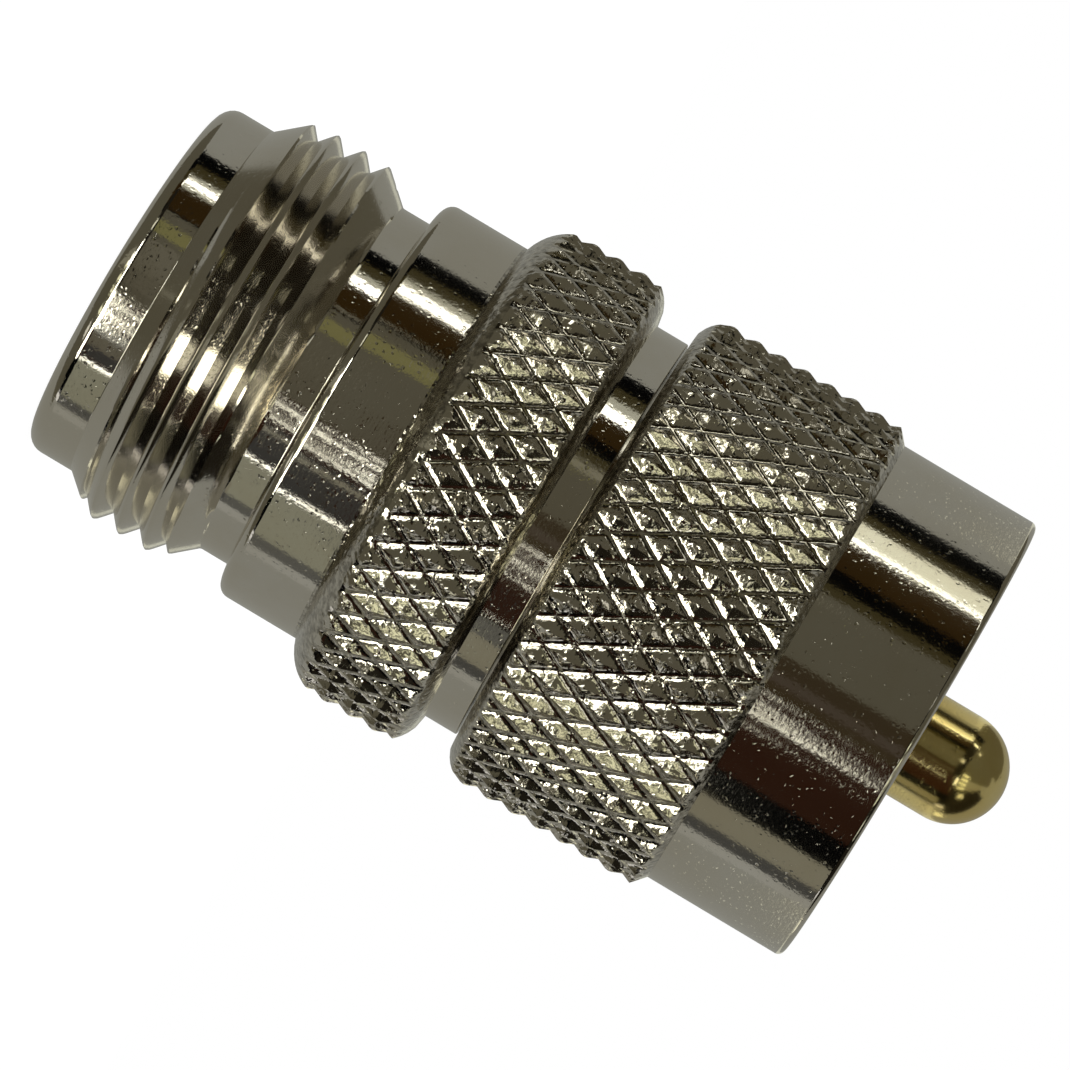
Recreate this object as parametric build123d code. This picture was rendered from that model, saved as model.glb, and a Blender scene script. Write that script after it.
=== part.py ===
from build123d import *
import math
import os

# Coaxial adapter: a threaded jack at the bottom and a plug with a loose coupling nut on top.
# All sizes are in millimetres. The adapter stands on the jack's nose, with +Z up its axis.

# Outside of the knurl, on the band and on the nut
knurl_radius = 9.2

# Contacts, from the axis outwards
pin_radius = 2.0
shank_width = 0.3
pin_collar_width = 0.45
pin_collar_length = 1.6
pin_reach = 9.67
pin_bore_spare = 0.4
stem_radius = 1.0
stem_tip_radius = 0.85
stem_tip_length = 3.0
socket_bore_radius = 0.83
socket_bore_depth = 6.0
socket_wall = 0.69
socket_recess = 4.15
socket_nose_chamfer = 0.15
socket_mouth_chamfer = 0.25
socket_seat_depth = 0.8
drill_point_length = 0.5
slot_count = 4
slot_width = 0.28
slot_length = 4.4

# Plug body
plug_step_width = 1.0
plug_step_length = 1.5
ferrule_wall = 1.05
ferrule_length = 4.6
ferrule_chamfer = 0.35
plug_bore_chamfer = 0.25
insulator_recess = 0.8
flange_width = 1.25
flange_thickness = 1.6
flange_chamfer = 0.2
flange_catch = 0.7
neck_seat_width = 0.7
spigot_chamfer = 0.3

# Locating teeth on the front of the flange
tooth_count = 2
tooth_width = 1.7
tooth_height = 0.9
tooth_setback = 0.2

# Coupling nut
nut_length = 13.45
nut_thread_length = 9.6
nut_mouth_chamfer = 0.62
nut_relief_depth = 0.62
nut_wall = 0.785
lip_thickness = 1.2
lip_chamfer = 0.15
barrel_setback = 0.165
barrel_chamfer = 0.2
nut_lead_drop = 0.8
nut_lead_length = 0.85
nut_knurl_length = 7.65
nut_step_length = 0.45

# Diamond knurl on the band and on the nut
knurl_depth = 0.36
knurl_skim = 0.005
knurl_starts = 51
knurl_column = 0.973
knurl_first_crest = 1
knurl_cutter_wall = 4.0

# Jack shell, outside, from the nose face upwards
nose_length = 1.9
nose_drop = 1.04
nose_edge_radius = 0.95
lead_length = 1.2
jack_thread_radius = 7.88
jack_thread_length = 2.82
tail_length = 1.17
relief_drop = 1.03
relief_length = 1.23
shoulder_length = 3.22
shoulder_edge_radius = 0.55
band_length = 5.21
band_rise = 1.36
band_lead_length = 1.31
band_tail_length = 0.7
neck_length = 1.25

# Jack shell, inside
dielectric_wall = 1.98
dielectric_length = 1.9
reference_step = 0.55
jack_bore_depth = 9.1
mouth_chamfer = 0.4
collar_grip = 0.9
collar_length = 1.5

# Rounded turned edges: how far a crown bulges, as a share of its chord, and their facets
crown_share = 0.12
facets_in_arc = 3

# Clearances
journal_clearance = 0.1
lip_play = 0.1
flange_clearance = 0.23

# Radii that follow from the sizes above
groove_radius = knurl_radius - knurl_skim - knurl_depth
barrel_radius = groove_radius - barrel_setback
nut_rear_radius = knurl_radius - nut_lead_drop
nut_relief_radius = groove_radius - nut_wall
nut_thread_radius = nut_relief_radius - nut_relief_depth
flange_radius = nut_thread_radius - flange_clearance
tooth_radius = flange_radius - tooth_setback
journal_radius = flange_radius - flange_catch
lip_radius = journal_radius + journal_clearance
spigot_radius = journal_radius - neck_seat_width
ferrule_radius = flange_radius - flange_width
plug_bore_radius = ferrule_radius - ferrule_wall
plug_rear_bore_radius = plug_bore_radius - plug_step_width
collar_radius = plug_rear_bore_radius + collar_grip
shank_radius = pin_radius + shank_width
pin_collar_radius = shank_radius + pin_collar_width
socket_radius = socket_bore_radius + socket_wall
dielectric_radius = socket_radius + dielectric_wall
jack_bore_radius = dielectric_radius + reference_step
shoulder_radius = knurl_radius - band_rise
nose_radius = jack_thread_radius - nose_drop
relief_radius = jack_thread_radius - relief_drop

# Heights up the axis that follow from the sizes above
thread_start = nose_length + lead_length
thread_end = thread_start + jack_thread_length
relief_start = thread_end + tail_length
shoulder_start = relief_start + relief_length
band_start = shoulder_start + shoulder_length
band_end = band_start + band_length
neck_end = band_end + neck_length
socket_seat = jack_bore_depth + socket_seat_depth
collar_start = jack_bore_depth + dielectric_length
collar_end = collar_start + collar_length
step_end = collar_end + plug_step_length
pin_collar_end = step_end + pin_collar_length
nut_rear = neck_end + lip_play
lip_front = nut_rear + lip_thickness
nut_step = nut_rear + nut_knurl_length
nut_step_end = nut_step + nut_step_length
nut_front = nut_rear + nut_length
flange_rear = lip_front + lip_play
flange_front = flange_rear + flange_thickness
ferrule_end = flange_front + ferrule_length
insulator_end = ferrule_end - insulator_recess
pin_tip = ferrule_end + pin_reach


def turned(*edges):
    """The solid that a closed outline of (radius, height) edges sweeps about the axis."""
    section = make_face(Curve() + list(edges))
    return revolve(Plane.XZ * section, Axis.Z)


def outline(*points):
    """Straight edges through all the points and back to the first."""
    return Polyline(*points, close=True)


def in_facets(arc):
    """Short straight edges with their ends on an arc."""
    return Polyline(*[arc @ (i / facets_in_arc) for i in range(facets_in_arc + 1)])


def crown(start, end):
    """A slightly convex edge up the outside of a turned piece."""
    return in_facets(SagittaArc(start, end, -crown_share * math.dist(start, end)))


def round_edge(start, end, radius):
    """A quarter-round edge up the outside of a turned piece."""
    return in_facets(RadiusArc(start, end, -radius))


def is_crest(row, place):
    """Whether a corner of the knurl is a crest: crests and groove crossings take turns."""
    return (row + place - knurl_first_crest) % 2 == 0


def knurl_point(start, row, place):
    """A corner of the knurl, at a row up the piece and a place round it."""
    radius = groove_radius + (knurl_depth if is_crest(row, place) else 0)
    angle = place * math.pi / knurl_starts
    return Vector(radius * math.cos(angle), radius * math.sin(angle), start + row * knurl_column)


def triangle(*corners):
    return Face(Wire.make_polygon(corners))


def knurl_slopes(start, rows):
    """The slopes of the diamond pyramids, two between each pair of rows and places."""
    slopes = []
    for row in range(rows):
        for place in range(2 * knurl_starts):
            beside = (place + 1) % (2 * knurl_starts)
            a = knurl_point(start, row, place)
            b = knurl_point(start, row, beside)
            c = knurl_point(start, row + 1, beside)
            d = knurl_point(start, row + 1, place)
            if is_crest(row, place):
                slopes += [triangle(a, b, d), triangle(c, d, b)]
            else:
                slopes += [triangle(b, c, a), triangle(d, a, c)]
    return slopes


def knurl_cutter(start, end):
    """What knurling takes off a turned blank: a block from start to end round the pyramids."""
    rows = math.ceil((end - start) / knurl_column)
    reach = knurl_radius + knurl_cutter_wall
    corners = [(reach, reach), (-reach, reach), (-reach, -reach), (reach, -reach)]
    faces = knurl_slopes(start, rows)
    for row in (0, rows):
        height = start + row * knurl_column
        rim = [knurl_point(start, row, place) for place in range(2 * knurl_starts)]
        block = Wire.make_polygon([(x, y, height) for x, y in corners])
        faces.append(Face(block, [Wire.make_polygon(rim)]))
    top = start + rows * knurl_column
    for (x0, y0), (x1, y1) in zip(corners, corners[1:] + corners[:1]):
        side = [(x0, y0, start), (x1, y1, start), (x1, y1, top), (x0, y0, top)]
        faces.append(Face(Wire.make_polygon(side)))
    return Solid(Shell(faces))


def jack_shell():
    """The turned shell: nose, thread, relief, shoulder, knurled band and neck, bored through."""
    nose_flat = nose_radius - nose_edge_radius
    shoulder_flat = shoulder_radius - shoulder_edge_radius
    shoulder_side = shoulder_start + shoulder_edge_radius
    knurl_start = band_start + band_lead_length
    knurl_end = band_end - band_tail_length
    blank = turned(
        round_edge((nose_flat, 0), (nose_radius, nose_edge_radius), nose_edge_radius),
        Polyline(
            (nose_radius, nose_edge_radius),
            (nose_radius, nose_length),
            (jack_thread_radius, thread_start),
            (jack_thread_radius, thread_end),
            (relief_radius, relief_start),
            (relief_radius, shoulder_start),
            (shoulder_flat, shoulder_start),
        ),
        round_edge(
            (shoulder_flat, shoulder_start), (shoulder_radius, shoulder_side), shoulder_edge_radius
        ),
        Line((shoulder_radius, shoulder_side), (shoulder_radius, band_start)),
        crown((shoulder_radius, band_start), (knurl_radius, knurl_start)),
        Line((knurl_radius, knurl_start), (knurl_radius, knurl_end)),
        crown((knurl_radius, knurl_end), (shoulder_radius, band_end)),
        Polyline(
            (shoulder_radius, band_end),
            (shoulder_radius, neck_end),
            (spigot_radius, neck_end),
            (spigot_radius, collar_end),
            (collar_radius, collar_end),
            (collar_radius, collar_start),
            (dielectric_radius, collar_start),
            (dielectric_radius, jack_bore_depth),
            (jack_bore_radius, jack_bore_depth),
            (jack_bore_radius, mouth_chamfer),
            (jack_bore_radius + mouth_chamfer, 0),
            (nose_flat, 0),
        ),
    )
    return blank - knurl_cutter(band_start, band_end)


def teeth():
    """Blocks round the foot of the ferrule that keep the plug from turning in its socket."""
    block = Box(
        tooth_radius,
        tooth_width,
        flange_thickness + tooth_height,
        align=(Align.MIN, Align.CENTER, Align.MIN),
    )
    blocks = [Rot(Z=360 / tooth_count * i) * block for i in range(tooth_count)]
    ring = Cylinder(
        tooth_radius,
        flange_thickness + tooth_height,
        align=(Align.CENTER, Align.CENTER, Align.MIN),
    )
    return Pos(Z=flange_rear) * (Part() + blocks & ring)


def plug_body():
    """Spigot in the jack shell, journal for the nut, flange with teeth, and open ferrule."""
    outside = turned(
        outline(
            (0, collar_end),
            (spigot_radius - spigot_chamfer, collar_end),
            (spigot_radius, collar_end + spigot_chamfer),
            (spigot_radius, neck_end),
            (journal_radius, neck_end),
            (journal_radius, flange_rear),
            (flange_radius - flange_chamfer, flange_rear),
            (flange_radius, flange_rear + flange_chamfer),
            (flange_radius, flange_front - flange_chamfer),
            (flange_radius - flange_chamfer, flange_front),
            (ferrule_radius, flange_front),
            (ferrule_radius, ferrule_end - ferrule_chamfer),
            (ferrule_radius - ferrule_chamfer, ferrule_end),
            (0, ferrule_end),
        )
    )
    bore = turned(
        outline(
            (0, collar_end),
            (plug_rear_bore_radius, collar_end),
            (plug_rear_bore_radius, step_end),
            (plug_bore_radius, step_end),
            (plug_bore_radius, ferrule_end - plug_bore_chamfer),
            (plug_bore_radius + plug_bore_chamfer, ferrule_end),
            (0, ferrule_end),
        )
    )
    return outside + teeth() - bore


def coupling_nut():
    """Knurled nut with a plain barrel in front, a threaded mouth and an inward lip behind."""
    knurl_start = nut_rear + nut_lead_length
    thread_rear = nut_front - nut_thread_length
    run_out = nut_relief_radius - nut_thread_radius
    blank = turned(
        crown((nut_rear_radius, nut_rear), (knurl_radius, knurl_start)),
        Polyline(
            (knurl_radius, knurl_start),
            (knurl_radius, nut_step),
            (barrel_radius, nut_step_end),
            (barrel_radius, nut_front - barrel_chamfer),
            (barrel_radius - barrel_chamfer, nut_front),
            (nut_thread_radius + nut_mouth_chamfer, nut_front),
            (nut_thread_radius, nut_front - nut_mouth_chamfer),
            (nut_thread_radius, thread_rear),
            (nut_relief_radius, thread_rear - run_out),
            (nut_relief_radius, lip_front),
            (lip_radius, lip_front),
            (lip_radius, nut_rear + lip_chamfer),
            (lip_radius + lip_chamfer, nut_rear),
            (nut_rear_radius, nut_rear),
        ),
    )
    return blank - knurl_cutter(nut_rear, nut_step_end)


def socket_contact():
    """Slotted socket in the jack, with a stem that runs back into the centre pin."""
    bore_end = socket_recess + socket_bore_depth
    turning = turned(
        outline(
            (socket_bore_radius + socket_mouth_chamfer, socket_recess),
            (socket_radius - socket_nose_chamfer, socket_recess),
            (socket_radius, socket_recess + socket_nose_chamfer),
            (socket_radius, socket_seat),
            (stem_radius, socket_seat),
            (stem_radius, step_end),
            (stem_tip_radius, step_end),
            (stem_tip_radius, step_end + stem_tip_length),
            (0, step_end + stem_tip_length),
            (0, bore_end + drill_point_length),
            (socket_bore_radius, bore_end),
            (socket_bore_radius, socket_recess + socket_mouth_chamfer),
        )
    )
    slot = Pos(Z=socket_recess) * Box(
        2 * socket_radius,
        slot_width,
        slot_length,
        align=(Align.MIN, Align.CENTER, Align.MIN),
    )
    return turning - [Rot(Z=360 / slot_count * i) * slot for i in range(slot_count)]


def centre_pin():
    """Round-nosed pin with a thicker shank and a collar in its insulator, bored for the stem."""
    bore_end = step_end + stem_tip_length + pin_bore_spare
    return turned(
        Polyline(
            (0, pin_tip),
            (0, bore_end),
            (stem_tip_radius, bore_end),
            (stem_tip_radius, step_end),
            (pin_collar_radius, step_end),
            (pin_collar_radius, pin_collar_end),
            (shank_radius, pin_collar_end),
            (shank_radius, insulator_end),
            (pin_radius, insulator_end),
            (pin_radius, pin_tip - pin_radius),
        ),
        RadiusArc((pin_radius, pin_tip - pin_radius), (0, pin_tip), -pin_radius),
    )


def jack_insulator():
    """Stepped insulator whose collar is clamped between the shell and the plug body."""
    return turned(
        outline(
            (socket_radius, jack_bore_depth),
            (dielectric_radius, jack_bore_depth),
            (dielectric_radius, collar_start),
            (collar_radius, collar_start),
            (collar_radius, collar_end),
            (plug_rear_bore_radius, collar_end),
            (plug_rear_bore_radius, step_end),
            (stem_radius, step_end),
            (stem_radius, socket_seat),
            (socket_radius, socket_seat),
        )
    )


def plug_insulator():
    """Insulator in the ferrule, on the plug body's step, with a seat for the pin's collar."""
    return turned(
        outline(
            (pin_collar_radius, step_end),
            (plug_bore_radius, step_end),
            (plug_bore_radius, insulator_end),
            (shank_radius, insulator_end),
            (shank_radius, pin_collar_end),
            (pin_collar_radius, pin_collar_end),
        )
    )


os.makedirs("parts", exist_ok=True)
export_step(jack_shell(), "parts/jack_shell.step")
export_step(plug_body(), "parts/plug_body.step")
export_step(coupling_nut(), "parts/coupling_nut.step")
export_step(socket_contact(), "parts/socket_contact.step")
export_step(centre_pin(), "parts/centre_pin.step")
export_step(jack_insulator(), "parts/jack_insulator.step")
export_step(plug_insulator(), "parts/plug_insulator.step")
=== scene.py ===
import bpy
import math
import numpy as np
from mathutils import Matrix, Vector


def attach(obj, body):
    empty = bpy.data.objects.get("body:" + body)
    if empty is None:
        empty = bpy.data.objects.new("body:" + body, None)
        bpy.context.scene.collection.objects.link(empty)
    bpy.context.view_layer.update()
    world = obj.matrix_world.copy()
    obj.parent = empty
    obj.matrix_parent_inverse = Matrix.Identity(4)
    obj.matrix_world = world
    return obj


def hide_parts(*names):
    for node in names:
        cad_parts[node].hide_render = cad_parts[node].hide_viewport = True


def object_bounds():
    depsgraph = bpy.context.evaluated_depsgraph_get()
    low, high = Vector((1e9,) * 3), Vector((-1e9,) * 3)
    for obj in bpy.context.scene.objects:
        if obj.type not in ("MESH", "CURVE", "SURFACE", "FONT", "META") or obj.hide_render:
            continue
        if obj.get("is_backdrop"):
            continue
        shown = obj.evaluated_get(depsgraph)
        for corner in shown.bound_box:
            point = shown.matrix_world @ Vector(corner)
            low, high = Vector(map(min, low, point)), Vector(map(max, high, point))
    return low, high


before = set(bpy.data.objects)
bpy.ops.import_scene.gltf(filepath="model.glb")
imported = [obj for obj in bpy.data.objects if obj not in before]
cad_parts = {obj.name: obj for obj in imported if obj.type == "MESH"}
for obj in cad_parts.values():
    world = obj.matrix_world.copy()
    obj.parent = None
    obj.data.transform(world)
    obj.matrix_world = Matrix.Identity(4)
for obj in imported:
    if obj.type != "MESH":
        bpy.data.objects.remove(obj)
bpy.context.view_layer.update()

# Coaxial adapter on its jack's nose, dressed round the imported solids.
# The adapter's sizes are in millimetres, with heights up the +Z axis, and its meshes are made in metres.
MM = 0.001

# Jack shell, outside
NOSE_RADIUS = 6.84
NOSE_EDGE = 0.95
NOSE_END = 1.9
NOSE_FACE_OUTER = NOSE_RADIUS - 1.4
NOSE_FACE_INNER = NOSE_RADIUS - 1.6
THREAD_RADIUS = 7.88
THREAD_START = 3.1
THREAD_END = 5.92
RELIEF_RADIUS = 6.85
RELIEF_START = 7.09
SHOULDER_START = 8.32
SHOULDER_RADIUS = 7.84
SHOULDER_EDGE = 0.55
BAND_START = 11.54
BAND_LEAD_END = 12.85
BAND_TAIL_START = 16.05
BAND_END = 16.75
NECK_END = 18.0

# Jack shell, inside
SPIGOT_RADIUS = 5.8
NECK_FACE_OUTER = SPIGOT_RADIUS + 0.4
NECK_FACE_INNER = SPIGOT_RADIUS + 0.3
COLLAR_RADIUS = 4.8
COLLAR_START = 11.0
COLLAR_END = 12.5
DIELECTRIC_RADIUS = 3.5
JACK_BORE_RADIUS = 4.05
JACK_BORE_DEPTH = 9.1
JACK_BORE_EDGE = 0.03
JACK_MOUTH_CHAMFER = 0.4

# Coupling nut
NUT_REAR = 18.1
NUT_REAR_RADIUS = 8.4
NUT_LEAD_END = 18.95
NUT_STEP = 25.75
NUT_STEP_END = 26.2
BARREL_RADIUS = 8.67
BARREL_EDGE = 0.25
NUT_FRONT = 31.55
NUT_THREAD_RADIUS = 7.43
NUT_THREAD_ROOT = 8.03
NUT_RELIEF_RADIUS = 8.05
NUT_THREAD_REAR = 21.95
NUT_MOUTH_CHAMFER = 0.62
NUT_MOUTH_RADIUS = NUT_THREAD_RADIUS + NUT_MOUTH_CHAMFER
NUT_RUN_OUT_END = NUT_THREAD_REAR - NUT_MOUTH_CHAMFER
NUT_REAR_FACE_INNER = NUT_REAR_RADIUS - 0.3
LIP_RADIUS = 6.6
LIP_FRONT = 19.3
LIP_CHAMFER = 0.15

# Screw threads: the standard 24 turns to the inch, right-handed
THREAD_PITCH = 25.4 / 24
THREAD_DEPTH = 0.57
THREAD_CREST_HEIGHT = 0.186
NUT_CREST_HEIGHT = 0.4
CREST_ROUNDING = 0.1
ROWS_IN_PITCH = 14
NUT_ROWS_IN_PITCH = 10

# Room that a zone's last ring leaves for the next zone's first
SCREW_ROOM = 0.05
RELIEF_ROOM = 0.15
SHOULDER_ROOM = 0.1
NECK_ROOM = 0.05
BARREL_ROOM = 0.02
BORE_ROOM = 0.1
PIN_ROOM = 0.1

# Diamond knurl. Each row of crests is staggered against the next, KNURL_STEPS mesh rings further up
KNURL_RADIUS = 9.195
KNURL_DEPTH = 0.29
KNURL_STARTS = 51
KNURL_ROW_HEIGHT = 0.973
KNURL_FIRST_CREST = 1
KNURL_STEPS = 8
CREST_DOME = 0.23
GROOVE_ROUNDING = 0.4

# Centre pin
PIN_RADIUS = 2.0
PIN_TIP = 35.27
SHANK_RADIUS = 2.3
PIN_COLLAR_RADIUS = 2.75
PIN_COLLAR_END = 15.6
STEP_END = 14.0
STEM_TIP_RADIUS = 0.85
PIN_BORE_END = 17.4
INSULATOR_END = 24.8
PIN_NOSE_STEPS = 24

# Points round a ring, from the finest to the coarsest
KNURL_POINTS = 2 * KNURL_STARTS * KNURL_STEPS
SKIN_POINTS = KNURL_POINTS // 2
BORE_POINTS = KNURL_POINTS // 4
PIN_POINTS = 128

# Edges: the break of a plain one, how finely a rounding is divided, the turn that is left as it is, and
# the share of a side that a rounding may take up
EDGE_BREAK = 0.05
ROUNDING_STEP = math.radians(14)
NEARLY_STRAIGHT = math.radians(88)
ROUNDING_REACH = 0.45

# A crown's middle stands out by this share of its width
CROWN_SHARE = 0.12
CROWN_STEPS = 12

# Faces are smooth with each other up to this cosine between them, and points this near are one
CREASE = math.cos(math.radians(24))
TOUCHING = 1e-6


def corner(before, point, after, radius):
    """The points of a corner of an outline once it is rounded to a radius."""
    before, point, after = (np.array(p[:2], float) for p in (before, point, after))
    one, two = before - point, after - point
    reach = ROUNDING_REACH * min(np.linalg.norm(one), np.linalg.norm(two))
    one, two = one / np.linalg.norm(one), two / np.linalg.norm(two)
    half = math.acos(float(np.clip(one @ two, -1, 1))) / 2
    if radius <= 0 or half > NEARLY_STRAIGHT:
        return [tuple(point)]
    tangent = min(radius / math.tan(half), reach)
    radius = tangent * math.tan(half)
    middle = point + (one + two) / np.linalg.norm(one + two) * radius / math.sin(half)
    first, last = point + one * tangent - middle, point + two * tangent - middle
    turn = math.pi - 2 * half
    steps = max(2, math.ceil(turn / ROUNDING_STEP))
    found = []
    for i in range(steps + 1):
        share = i / steps
        ray = first * math.sin((1 - share) * turn) + last * math.sin(share * turn)
        found.append(tuple(middle + ray / math.sin(turn)))
    return found


def outline(*points):
    """An open outline of (radius, height) or (radius, height, rounding) points."""
    found = [tuple(points[0][:2])]
    for before, point, after in zip(points, points[1:], points[2:]):
        rounding = point[2] if len(point) > 2 else 0
        found += corner(before, point, after, rounding)
    return found + [tuple(points[-1][:2])]


def crown(start, end):
    """A convex turned edge from start to end, each a (radius, height)."""
    start, end = np.array(start, float), np.array(end, float)
    chord = end - start
    outward = np.array([chord[1], -chord[0]])
    found = []
    for i in range(CROWN_STEPS + 1):
        share = i / CROWN_STEPS
        found.append(tuple(start + chord * share + outward * CROWN_SHARE * 4 * share * (1 - share)))
    return found


def ring(radius, height, count):
    """Points at one radius and height, or at one of each per point, round the axis."""
    angle = np.arange(count) * 2 * math.pi / count
    height = np.broadcast_to(height, angle.shape)
    return np.stack([radius * np.cos(angle), radius * np.sin(angle), height], 1)


def rings(points, count):
    """A ring for each (radius, height) of an outline."""
    return [ring(radius, height, count) for radius, height in points]


def limit(points, height):
    """The radius of an outline at a height, where it runs up the outside of a piece."""
    radii, heights = zip(*points)
    return np.interp(height, heights, radii)


def eased(share, rounding):
    """A share of a slope from 0 to 1, with the sharp turn at 0 rounded."""
    return (np.hypot(share, rounding) - rounding) / (math.hypot(1, rounding) - rounding)


def domed(share, dome):
    """A share of a slope from 0 to 1 that starts with a round top, and goes on straight after dome."""
    top = share**2 / (2 * dome)
    return np.where(share < dome, top, share - dome / 2) / (1 - dome / 2)


def screw_form(height, angle, crest_height):
    """How deep a thread is at each height and angle, as a share of its full depth."""
    turns = (height - crest_height) / THREAD_PITCH - angle / (2 * math.pi)
    return eased(2 * np.abs(turns - np.round(turns)), CREST_ROUNDING)


def screw_rings(start, end, radius_at, crest_height, rows_in_pitch, count):
    """Rings that climb with a thread from start to end, and are cut off flat at both."""
    angle = np.arange(count) * 2 * math.pi / count
    step = THREAD_PITCH / rows_in_pitch
    way = 1 if end > start else -1
    low, high = min(start, end), max(start, end)
    first = math.floor((low - crest_height) / step) - rows_in_pitch
    last = math.ceil((high - crest_height) / step)
    found = []
    for row in range(first, last + 1)[::way]:
        height = crest_height + row * step + THREAD_PITCH * angle / (2 * math.pi)
        height = np.clip(height, low, high)
        found.append(ring(radius_at(height, angle), height, count))
    return found


def knurl_radius(place, row):
    """The knurl's radius at a place round the piece and a row up it, in its own lattice."""
    to_crest = []
    for diagonal in (place - KNURL_FIRST_CREST + row, place - KNURL_FIRST_CREST - row):
        to_crest.append(eased(np.abs(diagonal % 2 - 1), GROOVE_ROUNDING))
    return KNURL_RADIUS - KNURL_DEPTH * domed(1 - np.minimum(*to_crest), CREST_DOME)


def knurl_rings(points, start):
    """Rings up a knurled outside from start, cut down to the turned outline's own radius."""
    end = points[-1][1]
    count = math.ceil((end - start) / KNURL_ROW_HEIGHT * KNURL_STEPS)
    place = np.arange(KNURL_POINTS) / KNURL_STEPS
    found = []
    for i in range(count + 1):
        height = min(start + i * KNURL_ROW_HEIGHT / KNURL_STEPS, end)
        row = (height - start) / KNURL_ROW_HEIGHT
        radius = np.minimum(knurl_radius(place, row), limit(points, height))
        found.append(ring(radius, height, KNURL_POINTS))
    return found


def corner_normals(faces, facing):
    """A normal for each corner of the faces: smooth with the other faces there, up to a crease.

    facing is each face's normal, as long as the face is large.
    """
    unit = facing / np.maximum(np.linalg.norm(facing, axis=1), 1e-30)[:, None]
    corners = faces.ravel()
    owners = np.repeat(np.arange(len(faces)), 3)
    owners_by_point = owners[np.argsort(corners, kind="stable")]
    counts = np.bincount(corners)
    starts = np.cumsum(counts) - counts
    total = np.zeros((len(corners), 3))
    for k in range(counts.max()):
        has = np.nonzero(k < counts[corners])[0]
        other = owners_by_point[starts[corners[has]] + k]
        level = np.einsum("ij,ij->i", unit[other], unit[owners[has]]) > CREASE
        total[has[level]] += facing[other[level]]
    return total / np.maximum(np.linalg.norm(total, axis=1), 1e-30)[:, None]


def placed(name, data):
    """An object in the scene that holds a mesh, a lamp or a camera."""
    made = bpy.data.objects.new(name, data)
    bpy.context.scene.collection.objects.link(made)
    return made


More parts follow.
